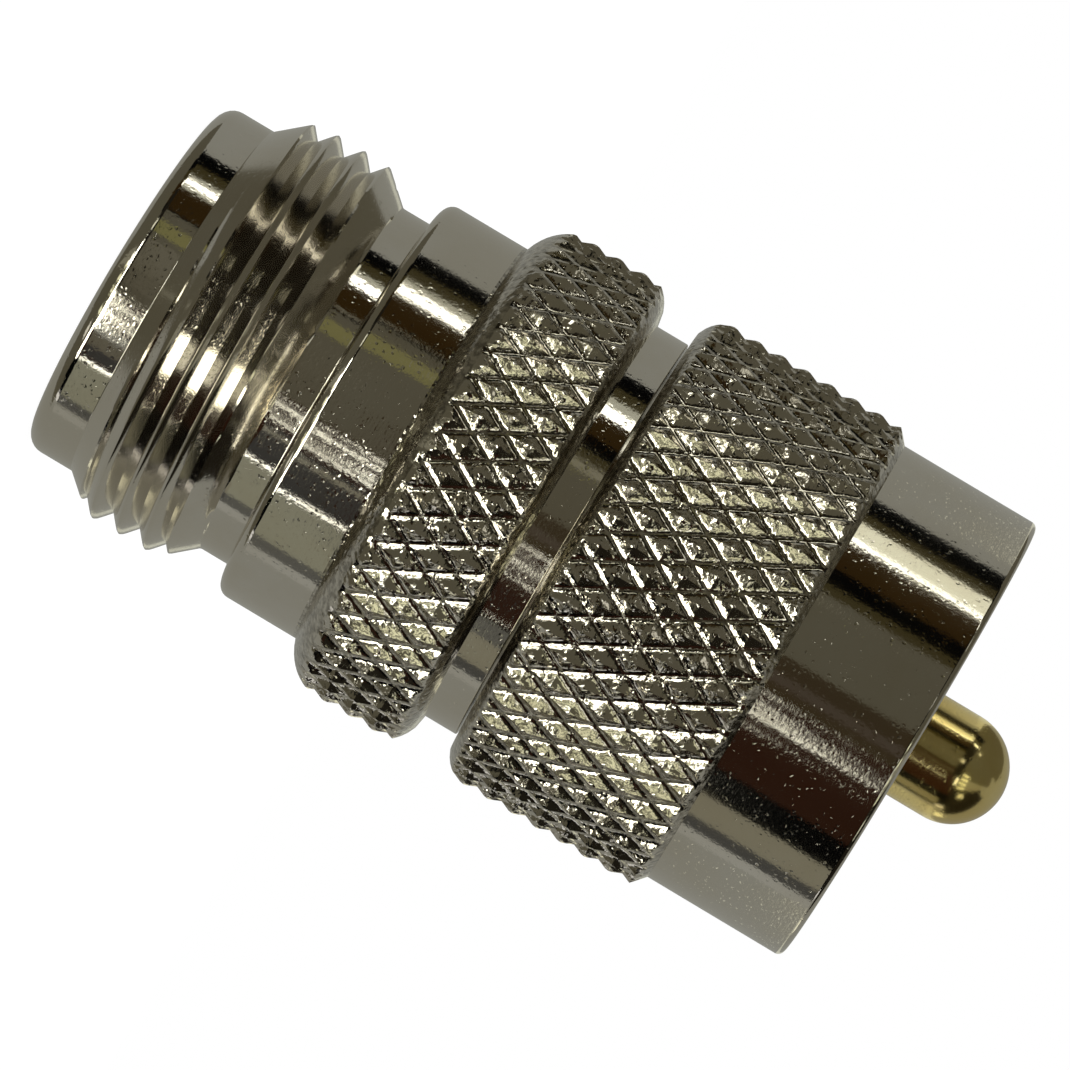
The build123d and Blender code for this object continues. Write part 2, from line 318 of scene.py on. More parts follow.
class Skin:
    """A turned surface that grows ring by ring, in zones that each take a finish."""

    def __init__(self):
        self.points = []
        self.faces = []
        self.zones = []
        self.edge = None
        self.total = 0

    def keep(self, points):
        """Adds a ring, or uses the last ring's points again where the two touch."""
        points = np.asarray(points, float)
        numbers = self.total + np.arange(len(points))
        if self.edge is not None and len(self.edge) == len(points):
            touching = np.linalg.norm(points - self.all_points()[self.edge], axis=1) < TOUCHING
            numbers = np.where(touching, self.edge, numbers)
        self.points.append(points)
        self.total += len(points)
        return numbers

    def all_points(self):
        """Every point so far, in one array."""
        if len(self.points) > 1:
            self.points = [np.concatenate(self.points)]
        return self.points[0]

    def add(self, faces, zone):
        """Takes up faces that share a finish."""
        self.faces.append(faces)
        self.zones.append(np.full(len(faces), zone))

    def join(self, one, two, zone, lattice=None, ends=None):
        """Faces between two rings. A coarse ring's edge takes several of a fine ring's."""
        if len(one) == len(two):
            one_next, two_next = np.roll(one, -1), np.roll(two, -1)
            if ends:
                one_next[-1], two_next[-1] = ends
            slant = np.zeros(len(one), bool) if lattice is None else lattice
            a = np.stack([one, one_next, np.where(slant, two, two_next)], 1)
            b = np.stack([np.where(slant, one_next, one), two_next, two], 1)
            faces = np.concatenate([a, b])
        else:
            flipped = len(one) < len(two)
            fine, coarse = (two, one) if flipped else (one, two)
            ratio = len(fine) // len(coarse)
            place = np.arange(len(fine))
            nearest = coarse[((place + ratio // 2) // ratio) % len(coarse)]
            fans = np.stack([fine, np.roll(fine, -1), nearest], 1)
            change = (place + 1 + ratio // 2) // ratio != (place + ratio // 2) // ratio
            after = coarse[((place + 1 + ratio // 2) // ratio) % len(coarse)]
            steps = np.stack([np.roll(fine, -1), after, nearest], 1)[change]
            faces = np.concatenate([fans, steps])
            if flipped:
                faces = faces[:, ::-1]
        distinct = (faces[:, 0] != faces[:, 1]) & (faces[:, 1] != faces[:, 2]) & (faces[:, 2] != faces[:, 0])
        self.add(faces[distinct], zone)

    def grow(self, new_rings, zone, lattice=None):
        """Goes on through more rings. lattice says, for each step, how its faces are split."""
        for i, points in enumerate(new_rings):
            numbers = self.keep(points)
            if self.edge is not None:
                self.join(self.edge, numbers, zone, lattice[i] if lattice else None)
            self.edge = numbers

    def wind(self, screw, zone, ahead):
        """Goes on through a thread's rings. Each ends where the ring some rows ahead begins."""
        start = self.edge
        kept = []
        for points in screw:
            self.edge = self.keep(points)
            kept.append(self.edge)
        self.join(start, kept[0], zone)
        starts = [ring_numbers[0] for ring_numbers in kept]
        for i, (one, two) in enumerate(zip(kept, kept[1:])):
            ends = [starts[min(max(i + k + ahead, 0), len(starts) - 1)] for k in (0, 1)]
            self.join(one, two, zone, ends=ends)

    def pole(self, height):
        """A point on the axis, and its number."""
        self.points.append(np.array([[0.0, 0.0, height]]))
        self.total += 1
        return self.total - 1

    def open_up(self, height, points, zone):
        """Starts at a point on the axis, with a first ring round it."""
        number = self.pole(height)
        self.grow([points], zone)
        self.add(np.stack([np.roll(self.edge, -1), self.edge, np.full(len(points), number)], 1), zone)

    def close(self, height, zone):
        """Ends at a point on the axis."""
        number = self.pole(height)
        self.add(np.stack([self.edge, np.roll(self.edge, -1), np.full(len(self.edge), number)], 1), zone)

    def piece(self, name, finishes):
        """The Blender object, with its faces outwards."""
        points = self.all_points() * MM
        faces = np.concatenate(self.faces)
        zones = np.concatenate(self.zones)
        used, faces = np.unique(faces, return_inverse=True)
        points, faces = points[used], faces.reshape(-1, 3)
        a, b, c = (points[faces[:, i]] for i in range(3))
        if np.einsum("ij,ij->i", a, np.cross(b, c)).sum() < 0:
            faces = faces[:, ::-1]
            a, c = c, a
        mesh = bpy.data.meshes.new(name)
        mesh.from_pydata(points.tolist(), [], faces.tolist())
        for finish in finishes:
            mesh.materials.append(finish)
        mesh.polygons.foreach_set("material_index", zones.astype(np.int32))
        mesh.polygons.foreach_set("use_smooth", np.ones(len(faces), bool))
        mesh.update()
        mesh.normals_split_custom_set(corner_normals(faces, np.cross(b - a, c - a)).tolist())
        return placed(name, mesh)


def lattice_split(new_rings):
    """Which way each knurl face is split, step by step, so that its edges follow the grooves."""
    place = np.arange(KNURL_POINTS) // KNURL_STEPS - KNURL_FIRST_CREST
    return [(place + (i - 1) // KNURL_STEPS) % 2 == 0 for i in range(len(new_rings))]


# Shader building


def add_node(tree, kind, inputs=None, **settings):
    """A node with its settings, and its inputs set to values or joined to other nodes' outputs."""
    node = tree.nodes.new(kind)
    for name, value in settings.items():
        setattr(node, name, value)
    for key, value in (inputs or {}).items():
        if isinstance(value, bpy.types.NodeSocket):
            tree.links.new(value, node.inputs[key])
        else:
            node.inputs[key].default_value = value
    return node


def calculated(tree, operation, first, second):
    """One step of arithmetic on two values."""
    return add_node(tree, "ShaderNodeMath", {0: first, 1: second}, operation=operation).outputs[0]


def vector_step(tree, operation, inputs):
    """One step of arithmetic on vectors."""
    return add_node(tree, "ShaderNodeVectorMath", inputs, operation=operation).outputs


def between(tree, mask, low, high):
    """A value that goes from low to high as the mask goes from 0 to 1."""
    return add_node(tree, "ShaderNodeMapRange", {"Value": mask, "To Min": low, "To Max": high}).outputs[0]


def eased_between(tree, value, start, end, low=0.0, high=1.0):
    """A value that turns smoothly from low to high as another goes from start to end."""
    inputs = {"Value": value, "From Min": start, "From Max": end, "To Min": low, "To Max": high}
    return add_node(tree, "ShaderNodeMapRange", inputs, interpolation_type="SMOOTHSTEP").outputs[0]


def noise(tree, place, scale, detail, roughness=0.5):
    """Cloudy noise at a place."""
    inputs = {"Vector": place, "Scale": scale, "Detail": detail, "Roughness": roughness}
    return add_node(tree, "ShaderNodeTexNoise", inputs).outputs


def effect_group(name, inputs, outputs):
    """An empty shader node group with named inputs and outputs."""
    group = bpy.data.node_groups.new(name, "ShaderNodeTree")
    for label, default in inputs:
        socket = group.interface.new_socket(label, in_out="INPUT", socket_type="NodeSocketFloat")
        socket.default_value = default
    for label in outputs:
        group.interface.new_socket(label, in_out="OUTPUT", socket_type="NodeSocketFloat")
    return group, group.nodes.new("NodeGroupInput"), group.nodes.new("NodeGroupOutput")


def place_in_mm(tree):
    """Where a point is on its own piece, in millimetres."""
    where = add_node(tree, "ShaderNodeTexCoord").outputs["Object"]
    return vector_step(tree, "SCALE", {0: where, "Scale": 1 / MM})[0]


def radius_of(tree, place):
    """How far a point is from the axis."""
    flat = vector_step(tree, "MULTIPLY", {0: place, 1: (1, 1, 0)})[0]
    return vector_step(tree, "LENGTH", {0: flat})["Value"]


GRAIN_BOWL = (0.05, 0.6)
HAZE_START = 0.75
HAZE_FULL = 0.7
SPECKLE_SCALE = 5.0
SPECKLE_EDGES = (0.35, 0.65)


def make_turning_marks():
    """Fine rings round the axis, left by the tool, on the sides and on the faces."""
    group, given, result = effect_group("turning marks", [("Lines per mm", 14.0)], ["Height"])
    place = place_in_mm(group)
    height = add_node(group, "ShaderNodeSeparateXYZ", {0: place}).outputs["Z"]
    across = calculated(group, "ADD", height, radius_of(group, place))
    inputs = {"W": across, "Scale": given.outputs["Lines per mm"], "Detail": 3.0, "Roughness": 0.6}
    lines = add_node(group, "ShaderNodeTexNoise", inputs, noise_dimensions="1D")
    group.links.new(lines.outputs[0], result.inputs["Height"])
    return group


def make_plating_grain():
    """A faint orange peel with small grains and pits in it, of which a few are steep."""
    inputs = [("Grain size mm", 0.08), ("Rarity", 4.0), ("Peel", 0.15)]
    group, given, result = effect_group("plating grain", inputs, ["Height", "Mask"])
    size = given.outputs["Grain size mm"]
    place = place_in_mm(group)
    scale = calculated(group, "DIVIDE", 1.0, size)
    peel = noise(group, place, scale, 2.0)
    shift = vector_step(group, "SCALE", {0: peel["Color"], "Scale": size})[0]
    bent = vector_step(group, "ADD", {0: place, 1: shift})[0]
    cells = add_node(group, "ShaderNodeTexVoronoi", {"Vector": bent, "Scale": scale, "Randomness": 1.0})
    chance = add_node(group, "ShaderNodeSeparateColor", {0: cells.outputs["Color"]}).outputs["Red"]
    steep = calculated(group, "POWER", chance, given.outputs["Rarity"])
    bowl = eased_between(group, cells.outputs["Distance"], *GRAIN_BOWL, 1.0, 0.0)
    mask = calculated(group, "MULTIPLY", bowl, steep)
    rough = calculated(group, "MULTIPLY", peel[0], given.outputs["Peel"])
    depth = calculated(group, "SUBTRACT", rough, mask)
    group.links.new(depth, result.inputs["Height"])
    group.links.new(mask, result.inputs["Mask"])
    return group


def make_handling_haze():
    """Soft patches where fingers have dulled the surface."""
    group, given, result = effect_group("handling haze", [("Patch size mm", 4.0), ("Spread", 0.5)], ["Mask"])
    place = place_in_mm(group)
    scale = calculated(group, "DIVIDE", 1.0, given.outputs["Patch size mm"])
    cloud = noise(group, place, scale, 4.0, 0.6)[0]
    edge = calculated(group, "SUBTRACT", HAZE_START, given.outputs["Spread"])
    group.links.new(eased_between(group, cloud, edge, HAZE_FULL), result.inputs["Mask"])
    return group


def make_hollow_painted_shade():
    """Painted shade in the hollows of a knurl or a thread, told by the radius and broken up by speckle."""
    inputs = [("Unshaded radius mm", 9.0), ("Fully shaded radius mm", 8.8)]
    group, given, result = effect_group("hollow painted shade", inputs, ["Mask"])
    place = place_in_mm(group)
    # Painted shade: below the first radius the colour darkens, fully so by the second, in speckled patches
    speckle = noise(group, place, SPECKLE_SCALE, 3.0)[0]
    inputs = {"Value": speckle, "From Min": SPECKLE_EDGES[0], "From Max": SPECKLE_EDGES[1]}
    broken = add_node(group, "ShaderNodeMapRange", inputs).outputs[0]
    radius = radius_of(group, place)
    hollow = eased_between(group, radius, given.outputs["Unshaded radius mm"], given.outputs["Fully shaded radius mm"])
    group.links.new(calculated(group, "MULTIPLY", hollow, broken), result.inputs["Mask"])
    return group


TURNING_MARKS = make_turning_marks()
PLATING_GRAIN = make_plating_grain()
HANDLING_HAZE = make_handling_haze()
HOLLOW_PAINTED_SHADE = make_hollow_painted_shade()


def mixed_colour(tree, mask, clean, marked):
    """A colour that goes from clean to marked as the mask does."""
    node = add_node(tree, "ShaderNodeMix", {"Factor": mask}, data_type="RGBA")
    colours = [socket for socket in node.inputs if socket.type == "RGBA"]
    for socket, value in zip(colours, (clean, marked)):
        if isinstance(value, bpy.types.NodeSocket):
            tree.links.new(value, socket)
        else:
            socket.default_value = (*value, 1)
    return next(socket for socket in node.outputs if socket.type == "RGBA")


def new_finish(name, empty=False):
    """A material and its node tree, with the standard shader or with nothing in it."""
    finish = bpy.data.materials.new(name)
    finish.use_nodes = True
    if empty:
        finish.node_tree.nodes.clear()
    return finish, finish.node_tree


def effect(tree, group, inputs=None):
    """One of the effects above, in a finish of its own."""
    return add_node(tree, "ShaderNodeGroup", inputs, node_tree=group)


def plated(name, clean, stained, gloss, dull, grain, grain_depth, mark_depth, hollow=None):
    """Bright plate over turned brass: haze, grain and turning marks, and painted shade in any hollows.

    grain is what the plating grain is given, and both depths are in millimetres. hollow is the radius
    down to which the hollows are free of painted shade, and the radius where their painted shade is full.
    """
    finish, tree = new_finish(name)
    shader = tree.nodes["Principled BSDF"]
    shader.inputs["Metallic"].default_value = 1.0
    haze = effect(tree, HANDLING_HAZE).outputs["Mask"]
    plate = effect(tree, PLATING_GRAIN, grain).outputs["Height"]
    marks = effect(tree, TURNING_MARKS).outputs["Height"]
    colour = mixed_colour(tree, haze, clean, stained)
    roughness = between(tree, haze, gloss, dull)
    # Painted shade: hollows below the given radius take a darker copy of the stained colour
    if hollow:
        painted_shade = effect(tree, HOLLOW_PAINTED_SHADE, {"Unshaded radius mm": hollow[0], "Fully shaded radius mm": hollow[1]})
        dark = tuple(PAINTED_SHADE_SHARE * part for part in stained)
        colour = mixed_colour(tree, painted_shade.outputs["Mask"], colour, dark)
    tree.links.new(colour, shader.inputs["Base Color"])
    tree.links.new(roughness, shader.inputs["Roughness"])
    inputs = {"Height": plate, "Strength": 1.0, "Distance": grain_depth * MM}
    grains = add_node(tree, "ShaderNodeBump", inputs).outputs["Normal"]
    inputs = {"Height": marks, "Strength": 1.0, "Distance": mark_depth * MM, "Normal": grains}
    lines = add_node(tree, "ShaderNodeBump", inputs).outputs["Normal"]
    tree.links.new(lines, shader.inputs["Normal"])
    return finish


NICKEL = (0.66, 0.63, 0.57)
NICKEL_STAIN = (0.62, 0.58, 0.5)
GOLD = (0.88, 0.76, 0.38)
GOLD_STAIN = (0.76, 0.6, 0.24)

FLUOROPLASTIC = (0.88, 0.88, 0.86)
FLUOROPLASTIC_HANDLED = (0.8, 0.79, 0.75)
FLUOROPLASTIC_ROUGHNESS = (0.36, 0.52)
DUST = (0.6, 0.58, 0.54)
# Painted shade in the knurl's hollows darkens the stained colour to this share
PAINTED_SHADE_SHARE = 0.5

turned_nickel = plated(
    "bright nickel, turned",
    NICKEL,
    NICKEL_STAIN,
    gloss=0.06,
    dull=0.1,
    grain={"Grain size mm": 0.14, "Rarity": 6.0, "Peel": 0.5},
    grain_depth=0.004,
    mark_depth=0.0004,
)
knurled_nickel = plated(
    "bright nickel, knurled",
    NICKEL,
    NICKEL_STAIN,
    gloss=0.08,
    dull=0.14,
    grain={"Grain size mm": 0.3, "Rarity": 1.5, "Peel": 0.6},
    grain_depth=0.03,
    mark_depth=0.0004,
    # Painted shade in the knurl's hollows, from this radius down to the groove bottoms
    hollow=(KNURL_RADIUS - 0.25, KNURL_RADIUS - KNURL_DEPTH),
)
threaded_nickel = plated(
    "bright nickel, threaded",
    NICKEL,
    NICKEL_STAIN,
    gloss=0.08,
    dull=0.14,
    grain={"Grain size mm": 0.1, "Rarity": 4.0, "Peel": 0.1},
    grain_depth=0.003,
    mark_depth=0.0004,
)
bored_nickel = plated(
    "bright nickel, bored",
    NICKEL,
    NICKEL_STAIN,
    gloss=0.16,
    dull=0.26,
    grain={"Grain size mm": 0.1, "Rarity": 4.0, "Peel": 0.2},
    grain_depth=0.003,
    mark_depth=0.002,
)
turned_gold = plated(
    "gold plate, turned",
    GOLD,
    GOLD_STAIN,
    gloss=0.1,
    dull=0.18,
    grain={"Grain size mm": 0.12, "Rarity": 5.0, "Peel": 0.2},
    grain_depth=0.004,
    mark_depth=0.0005,
)


def turned_fluoroplastic():
    """Waxy white plastic with the tool's rings and a little dust."""
    finish, tree = new_finish("white fluoroplastic, turned")
    shader = tree.nodes["Principled BSDF"]
    shader.inputs["IOR"].default_value = 1.36
    shader.inputs["Subsurface Weight"].default_value = 0.2
    shader.inputs["Subsurface Radius"].default_value = (0.6 * MM, 0.6 * MM, 0.5 * MM)
    shader.inputs["Subsurface Scale"].default_value = 1.0
    haze = effect(tree, HANDLING_HAZE, {"Patch size mm": 1.5}).outputs["Mask"]
    marks = effect(tree, TURNING_MARKS, {"Lines per mm": 9.0}).outputs["Height"]
    dust = effect(tree, PLATING_GRAIN, {"Grain size mm": 0.2, "Rarity": 8.0}).outputs["Mask"]
    colour = mixed_colour(tree, haze, FLUOROPLASTIC, FLUOROPLASTIC_HANDLED)
    colour = mixed_colour(tree, dust, colour, DUST)
    tree.links.new(colour, shader.inputs["Base Color"])
    tree.links.new(between(tree, haze, *FLUOROPLASTIC_ROUGHNESS), shader.inputs["Roughness"])
    bump = add_node(tree, "ShaderNodeBump", {"Height": marks, "Distance": 0.01 * MM})
    tree.links.new(bump.outputs["Normal"], shader.inputs["Normal"])
    return finish


white_fluoroplastic = turned_fluoroplastic()


# Pieces

TURNED, KNURLED, THREADED, BORED = range(4)
NICKEL_FINISHES = [turned_nickel, knurled_nickel, threaded_nickel, bored_nickel]


def make_jack_shell():
    """Nose, screw thread, relief, shoulder, knurled band and neck, bored through."""
    skin = Skin()
    cone_ahead = (NOSE_RADIUS + 0.1, NOSE_END + 0.1)
    nose = outline(
        (NOSE_FACE_OUTER, 0),
        (NOSE_RADIUS, 0, NOSE_EDGE),
        (NOSE_RADIUS, NOSE_END, EDGE_BREAK),
        cone_ahead,
    )[:-1]
    blank = outline(
        (NOSE_RADIUS, 0),
        (NOSE_RADIUS, NOSE_END, EDGE_BREAK),
        (THREAD_RADIUS, THREAD_START, EDGE_BREAK),
        (THREAD_RADIUS, THREAD_END, EDGE_BREAK),
        (RELIEF_RADIUS, RELIEF_START, EDGE_BREAK),
        (RELIEF_RADIUS, SHOULDER_START),
    )

    def thread_radius(height, angle):
        screw = THREAD_RADIUS - THREAD_DEPTH * screw_form(height, angle, THREAD_CREST_HEIGHT)
        return np.minimum(screw, limit(blank, height))

    lead = crown((SHOULDER_RADIUS, BAND_START), (KNURL_RADIUS, BAND_LEAD_END))
    tail = crown((KNURL_RADIUS, BAND_TAIL_START), (SHOULDER_RADIUS, BAND_END))
    band = lead + tail
    relief = outline(
        (RELIEF_RADIUS, RELIEF_START + RELIEF_ROOM),
        (RELIEF_RADIUS, SHOULDER_START, EDGE_BREAK),
        (SHOULDER_RADIUS, SHOULDER_START, SHOULDER_EDGE),
        (SHOULDER_RADIUS, BAND_START - SHOULDER_ROOM),
    )
    neck = outline(
        (SHOULDER_RADIUS, BAND_END + NECK_ROOM),
        (SHOULDER_RADIUS, NECK_END, EDGE_BREAK),
        (NECK_FACE_OUTER, NECK_END),
    )
    inside = outline(
        (NECK_FACE_INNER, NECK_END),
        (SPIGOT_RADIUS, NECK_END, EDGE_BREAK),
        (SPIGOT_RADIUS, COLLAR_END),
        (COLLAR_RADIUS, COLLAR_END),
        (COLLAR_RADIUS, COLLAR_START),
        (DIELECTRIC_RADIUS, COLLAR_START),
        (DIELECTRIC_RADIUS, JACK_BORE_DEPTH),
        (JACK_BORE_RADIUS, JACK_BORE_DEPTH, JACK_BORE_EDGE),
        (JACK_BORE_RADIUS, JACK_MOUTH_CHAMFER, EDGE_BREAK),
        (JACK_BORE_RADIUS + JACK_MOUTH_CHAMFER, 0, EDGE_BREAK),
        (NOSE_FACE_INNER, 0),
    )
    skin.grow(rings(nose, SKIN_POINTS), TURNED)
    screw = screw_rings(
        NOSE_END + SCREW_ROOM,
        RELIEF_START + SCREW_ROOM,
        thread_radius,
        THREAD_CREST_HEIGHT,
        ROWS_IN_PITCH,
        SKIN_POINTS,
    )
    skin.wind(screw, THREADED, ROWS_IN_PITCH)
    skin.grow(rings(relief, SKIN_POINTS), TURNED)
    knurl = knurl_rings(band, BAND_START)
    skin.grow(knurl, KNURLED, lattice_split(knurl))
    skin.grow(rings(neck, SKIN_POINTS), TURNED)
    skin.grow(rings(inside, BORE_POINTS), BORED)
    skin.grow(rings(nose[:1], SKIN_POINTS), TURNED)
    return skin.piece("jack_shell_turned", NICKEL_FINISHES)


def make_coupling_nut():
    """Knurled nut with a plain barrel in front, a threaded mouth and an inward lip behind."""
    skin = Skin()
    lead = crown((NUT_REAR_RADIUS, NUT_REAR), (KNURL_RADIUS, NUT_LEAD_END))
    grip = lead + [(KNURL_RADIUS, NUT_STEP), (BARREL_RADIUS, NUT_STEP_END)]
    barrel = outline(
        (BARREL_RADIUS, NUT_STEP_END + BARREL_ROOM),
        (BARREL_RADIUS, NUT_FRONT, BARREL_EDGE),
        (NUT_MOUTH_RADIUS + BORE_ROOM, NUT_FRONT),
    )

    def thread_radius(height, angle):
        depth = NUT_THREAD_ROOT - NUT_THREAD_RADIUS
        screw = NUT_THREAD_RADIUS + depth * screw_form(height, angle, NUT_CREST_HEIGHT)
        mouth = NUT_MOUTH_RADIUS - (NUT_FRONT - height)
        run_out = NUT_RELIEF_RADIUS - (height - NUT_RUN_OUT_END)
        return np.maximum(screw, np.maximum(mouth, run_out))

    inside = outline(
        (NUT_RELIEF_RADIUS, NUT_RUN_OUT_END - BORE_ROOM),
        (NUT_RELIEF_RADIUS, LIP_FRONT, EDGE_BREAK),
        (LIP_RADIUS, LIP_FRONT, EDGE_BREAK),
        (LIP_RADIUS, NUT_REAR + LIP_CHAMFER, EDGE_BREAK),
        (LIP_RADIUS + LIP_CHAMFER, NUT_REAR, EDGE_BREAK),
        (NUT_REAR_FACE_INNER, NUT_REAR),
    )
    knurl = knurl_rings(grip, NUT_REAR)
    skin.grow(knurl, KNURLED, lattice_split(knurl))
    skin.grow(rings(barrel, SKIN_POINTS), TURNED)
    screw = screw_rings(
        NUT_FRONT, NUT_RUN_OUT_END, thread_radius, NUT_CREST_HEIGHT, NUT_ROWS_IN_PITCH, BORE_POINTS
    )
    skin.wind(screw, BORED, -NUT_ROWS_IN_PITCH)
    skin.grow(rings(inside, BORE_POINTS), BORED)
    skin.grow(knurl[:1], TURNED)
    return skin.piece("coupling_nut_knurled", NICKEL_FINISHES)


def make_centre_pin():
    """Round-nosed pin with a thicker shank and a collar, bored for the contact's stem."""
    skin = Skin()
    nose_start = PIN_TIP - PIN_RADIUS
    nose = []
    for i in range(PIN_NOSE_STEPS):
        angle = math.pi / 2 * i / PIN_NOSE_STEPS
        nose.append((PIN_RADIUS * math.cos(angle), nose_start + PIN_RADIUS * math.sin(angle)))
    side = outline(
        (STEM_TIP_RADIUS / 2, PIN_BORE_END),
        (STEM_TIP_RADIUS, PIN_BORE_END),
        (STEM_TIP_RADIUS, STEP_END),
        (PIN_COLLAR_RADIUS, STEP_END),
        (PIN_COLLAR_RADIUS, PIN_COLLAR_END),
        (SHANK_RADIUS, PIN_COLLAR_END),
        (SHANK_RADIUS, INSULATOR_END),
        (PIN_RADIUS, INSULATOR_END),
        (PIN_RADIUS, nose_start - PIN_ROOM),
    )
    first, *others = rings(side + nose, PIN_POINTS)
    skin.open_up(PIN_BORE_END, first, 0)
    skin.grow(others, 0)
    skin.close(PIN_TIP, 0)
    return skin.piece("centre_pin_gold", [turned_gold])


def dress(piece, body, node):
    """Puts a finished piece on its body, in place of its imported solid."""
    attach(piece, body)
    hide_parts(node)


dress(make_jack_shell(), "adapter", "jack_shell")
dress(make_coupling_nut(), "nut", "coupling_nut")
dress(make_centre_pin(), "adapter", "centre_pin")

carried_over = {
    "plug_body": bored_nickel,
    "socket_contact": turned_gold,
    "jack_insulator": white_fluoroplastic,
    "plug_insulator": white_fluoroplastic,
}
for name, finish in carried_over.items():
    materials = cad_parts[name].data.materials
    materials.clear()
    materials.append(finish)


# Studio, in metres: a pale floor, a soft lamp, and cards that only mirrors show

SKY_LEVEL = 0.7
FLOOR_RADIUS = 0.35
FLOOR_DROP = 0.00002
FLOOR_POINTS = 96
FLOOR_PAINT = (0.9, 0.9, 0.9, 1)
FLOOR_GLOW = 1.08
FLOOR_GLOW_SHARE = 0.9
LAMP_WIDTH = 0.5
LAMP_POWER = 2.2
LAMP_PLACE = (-0.3, -0.35, 0.6)
CARD_CENTRE = Vector((0, 0, 0.0165))
CARD_STEP_ACROSS = 3
CARD_STEP_UP = 6

world = bpy.data.worlds.new("studio")
bpy.context.scene.world = world
world.use_nodes = True
sky = world.node_tree
sky.nodes.clear()


def seen_or_mirrored(tree):
    """1 for what the camera sees, also in metal and through glass, and 0 for light on the object."""
    path = add_node(tree, "ShaderNodeLightPath").outputs
    metal = calculated(tree, "MAXIMUM", path["Is Camera Ray"], path["Is Glossy Ray"])
    return calculated(tree, "MAXIMUM", metal, path["Is Transmission Ray"])


soft = add_node(sky, "ShaderNodeBackground", {"Color": (1, 1, 1, 1), "Strength": SKY_LEVEL}).outputs[0]
white = add_node(sky, "ShaderNodeBackground", {"Color": (1, 1, 1, 1), "Strength": 1.0}).outputs[0]
either = add_node(sky, "ShaderNodeMixShader", {0: seen_or_mirrored(sky), 1: soft, 2: white})
add_node(sky, "ShaderNodeOutputWorld", {"Surface": either.outputs[0]})


def make_floor():
    """A pale round floor that looks white, and keeps a faint shadow."""
    finish, tree = new_finish("pale floor", empty=True)
    paint = add_node(tree, "ShaderNodeBsdfDiffuse", {"Color": FLOOR_PAINT}).outputs[0]
    glow = add_node(tree, "ShaderNodeEmission", {"Color": (1, 1, 1, 1), "Strength": FLOOR_GLOW}).outputs[0]
    share = calculated(tree, "MULTIPLY", seen_or_mirrored(tree), FLOOR_GLOW_SHARE)
    both = add_node(tree, "ShaderNodeMixShader", {0: share, 1: paint, 2: glow})
    add_node(tree, "ShaderNodeOutputMaterial", {"Surface": both.outputs[0]})
    points = ring(FLOOR_RADIUS, -FLOOR_DROP, FLOOR_POINTS)
    mesh = bpy.data.meshes.new("floor")
    mesh.from_pydata(points.tolist(), [], [list(range(len(points)))])
    mesh.materials.append(finish)
    floor = placed("floor", mesh)
    floor.visible_glossy = False
    floor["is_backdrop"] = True


make_floor()


def make_card(name, colour, near, left, right, low, high, lean=0.0):
    """A curved card round the adapter, near metres from it, which only mirrors show.

    Its sides and ends are angles in degrees, from straight towards the camera and from level. lean is
    how far its left and right sides move to the right for each degree up.
    """
    finish, tree = new_finish(name, empty=True)
    glow = add_node(tree, "ShaderNodeEmission", {"Color": (*colour, 1), "Strength": 1.0})
    add_node(tree, "ShaderNodeOutputMaterial", {"Surface": glow.outputs[0]})
    across = max(1, math.ceil((right - left) / CARD_STEP_ACROSS))
    up = max(1, math.ceil((high - low) / CARD_STEP_UP))
    points, faces = [], []
    for j in range(up + 1):
        rise = low + (high - low) * j / up
        for i in range(across + 1):
            turn = math.radians(left + (right - left) * i / across + lean * rise)
            flat = math.cos(math.radians(rise))
            toward = Vector((math.sin(turn) * flat, -math.cos(turn) * flat, math.sin(math.radians(rise))))
            points.append(CARD_CENTRE + near * toward)
    for j in range(up):
        for i in range(across):
            first = j * (across + 1) + i
            faces.append([first, first + 1, first + across + 2, first + across + 1])
    mesh = bpy.data.meshes.new(name)
    mesh.from_pydata(points, [], faces)
    mesh.materials.append(finish)
    card = placed(name, mesh)
    card.visible_camera = False
    card.visible_diffuse = False
    card.visible_transmission = False
    card.visible_shadow = False
    card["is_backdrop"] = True


# Colours of the cards, as light
PALE = (0.3, 0.3, 0.27)
BRIGHT_WALL = (0.62, 0.62, 0.52)
PALE_EDGE = (0.37, 0.37, 0.34)
OLIVE_GREY = (0.11, 0.102, 0.074)
PALE_OLIVE = (0.15, 0.14, 0.105)
OLIVE = (0.2, 0.19, 0.08)
DARK_OLIVE = (0.05, 0.041, 0.017)
BLACK = (0.002, 0.002, 0.002)
BROWN = (0.03, 0.017, 0.005)
DARK_BROWN = (0.045, 0.033, 0.018)
RED_BROWN = (0.028, 0.012, 0.007)
PURPLE_BROWN = (0.075, 0.06, 0.045)
TAN = (0.25, 0.237, 0.18)
PALE_TAN = (0.29, 0.29, 0.225)
SLATE = (0.07, 0.07, 0.066)
PALE_SLATE = (0.12, 0.12, 0.11)
DARK_SLATE = (0.05, 0.05, 0.047)
BENCH = (0.11, 0.102, 0.072)
PALE_BENCH = (0.27, 0.26, 0.2)
NEAR_BLACK = (0.015, 0.013, 0.009)
SOFT_WHITE = (1.1, 1.09, 0.86)
HALF_WHITE = (0.5, 0.5, 0.41)
DIM_WHITE = (0.9, 0.88, 0.76)
WHITE = (3.0, 3.0, 2.7)
WINDOW = (8.0, 8.0, 7.0)
DAYLIGHT = (2.0, 2.0, 1.75)
YELLOW_WHITE = (1.3, 1.3, 0.9)

# Low and high ends of cards, in degrees: of whole walls, of what the smooth parts mirror, and of what
# the nose, the relief and shoulder, the neck, and the barrel and pin mirror, each alone
TALL = (-75, 75)
SMOOTH = (-9, 9)
NOSE = (-9, -5.6)
WAIST = (-5.6, -2.5)
LEVEL = (-2.5, 0.6)
HIGH = (0.6, 9)
ABOVE = (24, 88)

